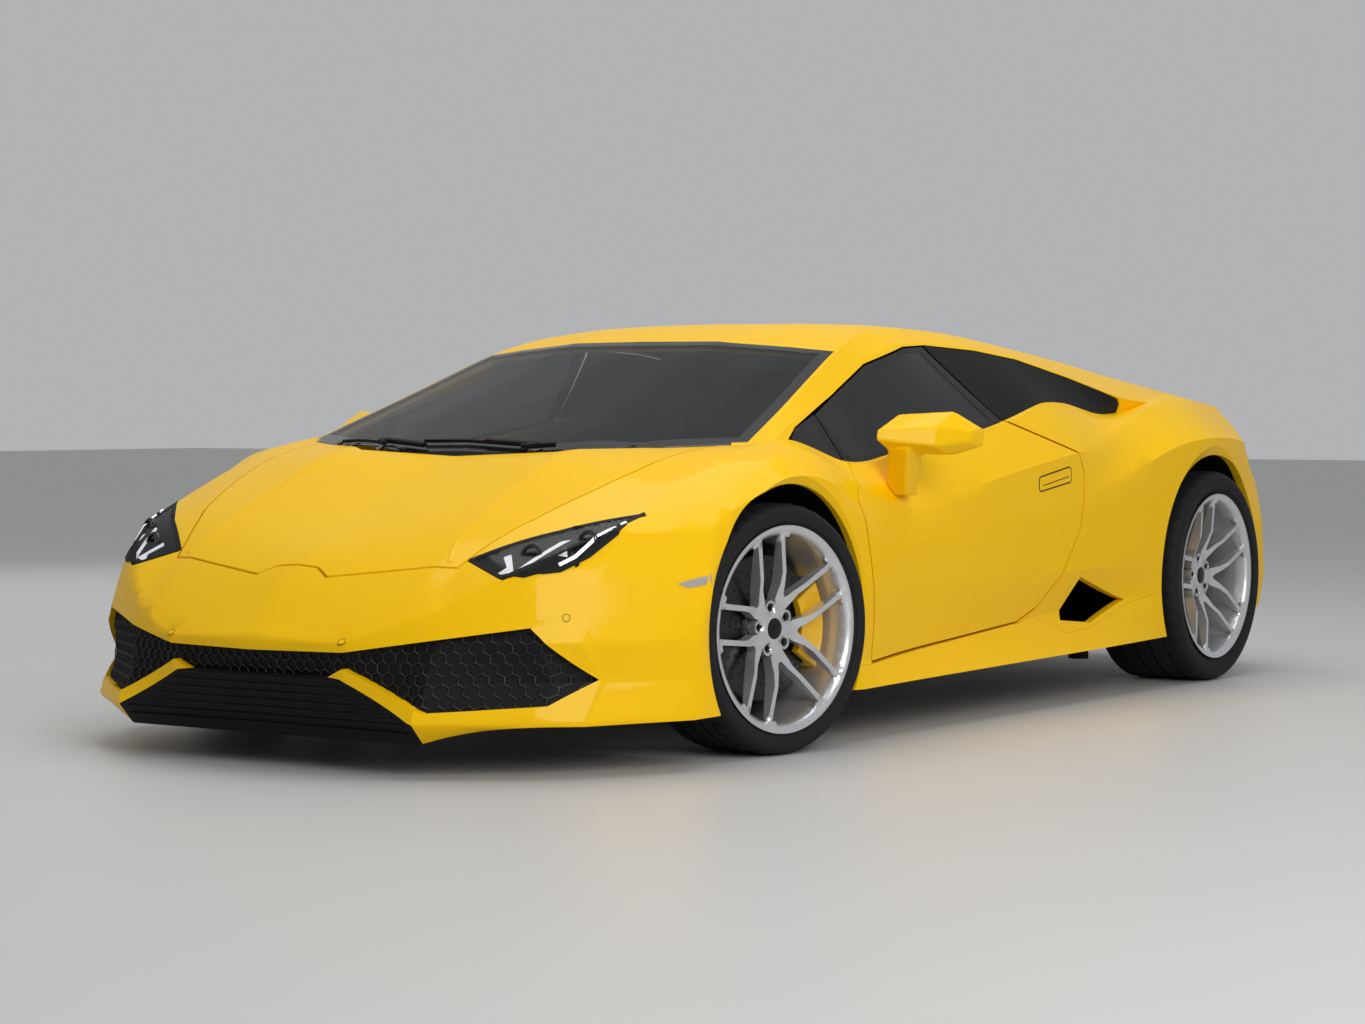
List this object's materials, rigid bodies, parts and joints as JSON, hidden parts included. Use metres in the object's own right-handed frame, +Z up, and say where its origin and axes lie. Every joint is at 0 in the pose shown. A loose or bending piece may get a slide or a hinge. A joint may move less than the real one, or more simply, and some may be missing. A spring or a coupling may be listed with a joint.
{
  "type": "mid-engined coupe car",
  "caption": "Low wedge-shaped two-door mid-engined coupe with opening doors, bonnet and engine cover, steered front wheels and four turning road wheels.",
  "frame": {"origin": "centre of the footprint on the ground, below the middle of the bounding box", "axes": "+X towards the nose, +Y towards the car's left, +Z up"},
  "size_m": [4.4578, 2.236, 1.1595],
  "materials": {
    "body_paint": "gloss",
    "black_trim": "satin",
    "underbody": "matte",
    "tinted_glass": "clear",
    "lamp_glass": "clear",
    "tail_glass": "gloss",
    "grille_black": "matte",
    "rim_silver": "satin",
    "tyre_rubber": "matte",
    "disc_iron": "machined",
    "caliper_yellow": "gloss",
    "suspension_alloy": "cast",
    "chassis_alloy": "satin",
    "engine_alloy": "cast",
    "exhaust_steel": "brushed",
    "seat_leather": "matte",
    "dash_trim": "matte",
    "mirror_shell": "gloss"
  },
  "bodies": {
    "body": {"centre_console": "dash_trim", "dashboard": "dash_trim", "engine_block": "engine_alloy", "exhaust_tips": "exhaust_steel", "front_bumper": "body_paint", "front_grilles": "grille_black", "front_splitter": "body_paint", "front_wings": "body_paint", "headlamps": "lamp_glass", "jacking_pads": "chassis_alloy", "luggage_well": "dash_trim", "quarter_glass": "tinted_glass", "rear_bumper": "body_paint", "rear_calipers": "caliper_yellow", "rear_diffuser": "underbody", "rear_grille": "grille_black", "rear_quarters": "body_paint", "rear_uprights": "suspension_alloy", "roof_frame": "body_paint", "roof_header": "chassis_alloy", "seats": "seat_leather", "shoulder_intakes": "black_trim", "side_sills": "body_paint", "steering_column": "dash_trim", "tail_lamps": "tail_glass", "tub": "chassis_alloy", "undertray": "underbody", "wheel_liners": "underbody", "windscreen": "tinted_glass", "wishbones": "suspension_alloy"},
    "bonnet": {"bonnet": "body_paint"},
    "engine_cover": {"engine_cover": "body_paint"},
    "door_left": {"door_left": "body_paint", "door_glass_left": "tinted_glass", "mirror_left": "mirror_shell"},
    "door_right": {"door_right": "body_paint", "door_glass_right": "tinted_glass", "mirror_right": "mirror_shell"},
    "steering_wheel": {"steering_wheel": "dash_trim"},
    "front_knuckle_left": {"knuckle_left": "suspension_alloy", "caliper_left": "caliper_yellow"},
    "front_knuckle_right": {"knuckle_right": "suspension_alloy", "caliper_right": "caliper_yellow"},
    "front_wheel_left": {"tyre_front_left": "tyre_rubber", "rim_front_left": "rim_silver", "brake_disc_front_left": "disc_iron"},
    "front_wheel_right": {"tyre_front_right": "tyre_rubber", "rim_front_right": "rim_silver", "brake_disc_front_right": "disc_iron"},
    "rear_wheel_left": {"tyre_rear_left": "tyre_rubber", "rim_rear_left": "rim_silver", "brake_disc_rear_left": "disc_iron"},
    "rear_wheel_right": {"tyre_rear_right": "tyre_rubber", "rim_rear_right": "rim_silver", "brake_disc_rear_right": "disc_iron"}
  },
  "joints": [
    {"name": "bonnet_hinge", "type": "hinge", "parent": "body", "child": "bonnet", "pos_m": [1.1115, 0, 0.801], "axis": [0, -1, 0], "range_deg": [0, 55]},
    {"name": "engine_cover_hinge", "type": "hinge", "parent": "body", "child": "engine_cover", "pos_m": [-0.5235, 0, 1.133], "axis": [0, 1, 0], "range_deg": [0, 45]},
    {"name": "door_left_hinge", "type": "hinge", "parent": "body", "child": "door_left", "pos_m": [0.8185, 0.94, 0.5], "axis": [0, 0, -1], "range_deg": [0, 65]},
    {"name": "door_right_hinge", "type": "hinge", "parent": "body", "child": "door_right", "pos_m": [0.8185, -0.94, 0.5], "axis": [0, 0, 1], "range_deg": [0, 65]},
    {"name": "steer_left", "type": "hinge", "parent": "body", "child": "front_knuckle_left", "pos_m": [1.1845, 0.8, 0.3275], "axis": [0, 0, 1], "range_deg": [-23.5, 40.5]},
    {"name": "steer_right", "type": "hinge", "parent": "body", "child": "front_knuckle_right", "pos_m": [1.1845, -0.8, 0.3275], "axis": [0, 0, 1], "range_deg": [-23.5, 40.5]},
    {"name": "steering_wheel_turn", "type": "hinge", "parent": "body", "child": "steering_wheel", "pos_m": [0.4245, 0.37, 0.69], "axis": [-0.922, 0, 0.3872], "range_deg": [-282, 486]},
    {"name": "spin_front_left", "type": "hinge", "parent": "front_knuckle_left", "child": "front_wheel_left", "pos_m": [1.1895, 0.8336, 0.3275], "axis": [0.1478, 0.989, 0], "continuous": true},
    {"name": "spin_front_right", "type": "hinge", "parent": "front_knuckle_right", "child": "front_wheel_right", "pos_m": [1.1795, -0.8336, 0.3275], "axis": [0.1478, 0.989, 0], "continuous": true},
    {"name": "spin_rear_left", "type": "hinge", "parent": "body", "child": "rear_wheel_left", "pos_m": [-1.4355, 0.81, 0.3455], "axis": [0, 1, 0], "continuous": true},
    {"name": "spin_rear_right", "type": "hinge", "parent": "body", "child": "rear_wheel_right", "pos_m": [-1.4355, -0.81, 0.3455], "axis": [0, 1, 0], "continuous": true}
  ],
  "couplings": [
    {"joint": "steer_right", "follows": "steer_left", "ratio": 1},
    {"joint": "steering_wheel_turn", "follows": "steer_left", "ratio": 12}
  ]
}
